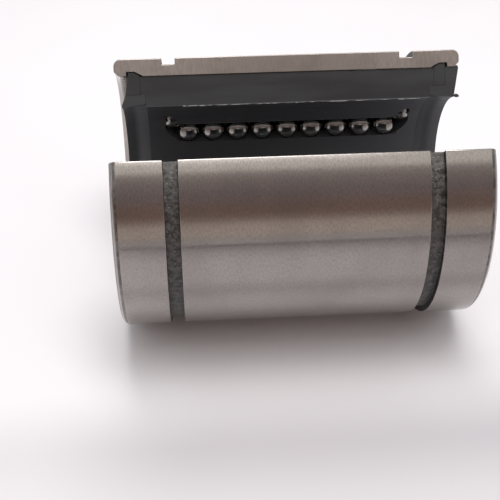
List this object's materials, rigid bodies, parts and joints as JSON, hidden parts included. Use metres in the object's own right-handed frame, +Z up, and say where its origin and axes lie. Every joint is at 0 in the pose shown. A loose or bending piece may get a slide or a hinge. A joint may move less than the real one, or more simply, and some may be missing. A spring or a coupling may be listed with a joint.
{
  "type": "open linear ball bushing",
  "caption": "Slotted steel sleeve with a black ball cage inside, for a round rail held from below; balls run round closed tracks.",
  "frame": {"origin": "middle of the sleeve's length, on the lowest line of its outside", "axes": "+X along the bore, to the end whose seal has a flange; +Z up through the middle of the slot; +Y towards the far wall"},
  "size_m": [0.042, 0.032, 0.0288],
  "materials": {
    "sleeve_steel": "ground bearing steel with fine marks round the sleeve, light scratches and small pits",
    "cage_resin": "moulded black resin, slightly glossy, with pale flash along the bore edges",
    "end_ring_resin": "moulded black resin",
    "seal_rubber": "black wiper rubber, dull",
    "ball_steel": "polished chrome steel"
  },
  "bodies": {
    "sleeve": {"outer_sleeve": "sleeve_steel", "ball_cage": "cage_resin", "left_end_ring": "end_ring_resin", "right_end_ring": "end_ring_resin", "left_wiper_seal": "seal_rubber", "right_wiper_seal": "seal_rubber"},
    "near_loaded_row": {"near_loaded_ball_1": "ball_steel", "near_loaded_ball_2": "ball_steel", "near_loaded_ball_3": "ball_steel", "near_loaded_ball_4": "ball_steel", "near_loaded_ball_5": "ball_steel", "near_loaded_ball_6": "ball_steel", "near_loaded_ball_7": "ball_steel", "near_loaded_ball_8": "ball_steel"},
    "near_right_turn": {"near_right_turn_ball_1": "ball_steel", "near_right_turn_ball_2": "ball_steel"},
    "near_left_turn": {"near_left_turn_ball_1": "ball_steel", "near_left_turn_ball_2": "ball_steel"},
    "near_return_row": {"near_return_row": "ball_steel"},
    "far_loaded_row": {"far_loaded_ball_1": "ball_steel", "far_loaded_ball_2": "ball_steel", "far_loaded_ball_3": "ball_steel", "far_loaded_ball_4": "ball_steel", "far_loaded_ball_5": "ball_steel", "far_loaded_ball_6": "ball_steel", "far_loaded_ball_7": "ball_steel", "far_loaded_ball_8": "ball_steel"},
    "far_right_turn": {"far_right_turn_ball_1": "ball_steel", "far_right_turn_ball_2": "ball_steel"},
    "far_left_turn": {"far_left_turn_ball_1": "ball_steel", "far_left_turn_ball_2": "ball_steel"},
    "far_return_row": {"far_return_row": "ball_steel"},
    "bottom_loaded_row": {"bottom_loaded_ball_1": "ball_steel", "bottom_loaded_ball_2": "ball_steel", "bottom_loaded_ball_3": "ball_steel", "bottom_loaded_ball_4": "ball_steel", "bottom_loaded_ball_5": "ball_steel", "bottom_loaded_ball_6": "ball_steel", "bottom_loaded_ball_7": "ball_steel", "bottom_loaded_ball_8": "ball_steel"},
    "bottom_right_turn": {"bottom_right_turn_ball_1": "ball_steel", "bottom_right_turn_ball_2": "ball_steel"},
    "bottom_left_turn": {"bottom_left_turn_ball_1": "ball_steel", "bottom_left_turn_ball_2": "ball_steel"},
    "bottom_return_row": {"bottom_return_row": "ball_steel"}
  },
  "joints": [
    {"name": "near_loaded_travel", "type": "slide", "parent": "sleeve", "child": "near_loaded_row", "axis": [1, 0, 0], "range_m": [-0.0013, 0.0019]},
    {"name": "near_return_travel", "type": "slide", "parent": "sleeve", "child": "near_return_row", "axis": [1, 0, 0], "range_m": [-0.0019, 0.0013]},
    {"name": "near_right_turn_roll", "type": "hinge", "parent": "sleeve", "child": "near_right_turn", "pos_m": [0.0128, -0.01132, 0.01889], "axis": [0, -0.9941, 0.1086], "range_deg": [-34.13, 49.88]},
    {"name": "near_left_turn_roll", "type": "hinge", "parent": "sleeve", "child": "near_left_turn", "pos_m": [-0.012, -0.01132, 0.01889], "axis": [0, -0.9941, 0.1086], "range_deg": [-34.13, 49.88]},
    {"name": "far_loaded_travel", "type": "slide", "parent": "sleeve", "child": "far_loaded_row", "axis": [1, 0, 0], "range_m": [-0.00005, 0.00315]},
    {"name": "far_return_travel", "type": "slide", "parent": "sleeve", "child": "far_return_row", "axis": [1, 0, 0], "range_m": [-0.00315, 0.00005]},
    {"name": "far_right_turn_roll", "type": "hinge", "parent": "sleeve", "child": "far_right_turn", "pos_m": [0.0128, 0.01132, 0.01889], "axis": [0, -0.9941, -0.1086], "range_deg": [-1.32, 82.7]},
    {"name": "far_left_turn_roll", "type": "hinge", "parent": "sleeve", "child": "far_left_turn", "pos_m": [-0.012, 0.01132, 0.01889], "axis": [0, -0.9941, -0.1086], "range_deg": [-1.32, 82.7]},
    {"name": "bottom_loaded_travel", "type": "slide", "parent": "sleeve", "child": "bottom_loaded_row", "axis": [1, 0, 0], "range_m": [-0.0022, 0.001]},
    {"name": "bottom_return_travel", "type": "slide", "parent": "sleeve", "child": "bottom_return_row", "axis": [1, 0, 0], "range_m": [-0.001, 0.0022]},
    {"name": "bottom_right_turn_roll", "type": "hinge", "parent": "sleeve", "child": "bottom_right_turn", "pos_m": [0.0128, 0.00239, 0.00457], "axis": [0, -0.0652, 0.9979], "range_deg": [-57.76, 26.26]},
    {"name": "bottom_left_turn_roll", "type": "hinge", "parent": "sleeve", "child": "bottom_left_turn", "pos_m": [-0.012, 0.00239, 0.00457], "axis": [0, -0.0652, 0.9979], "range_deg": [-57.76, 26.26]}
  ],
  "couplings": [
    {"joint": "near_right_turn_roll", "follows": "near_loaded_travel", "rad_per_m": 458.15},
    {"joint": "near_left_turn_roll", "follows": "near_loaded_travel", "rad_per_m": 458.15},
    {"joint": "near_return_travel", "follows": "near_loaded_travel", "ratio": -1},
    {"joint": "far_right_turn_roll", "follows": "far_loaded_travel", "rad_per_m": 458.15},
    {"joint": "far_left_turn_roll", "follows": "far_loaded_travel", "rad_per_m": 458.15},
    {"joint": "far_return_travel", "follows": "far_loaded_travel", "ratio": -1},
    {"joint": "bottom_right_turn_roll", "follows": "bottom_loaded_travel", "rad_per_m": 458.15},
    {"joint": "bottom_left_turn_roll", "follows": "bottom_loaded_travel", "rad_per_m": 458.15},
    {"joint": "bottom_return_travel", "follows": "bottom_loaded_travel", "ratio": -1}
  ]
}
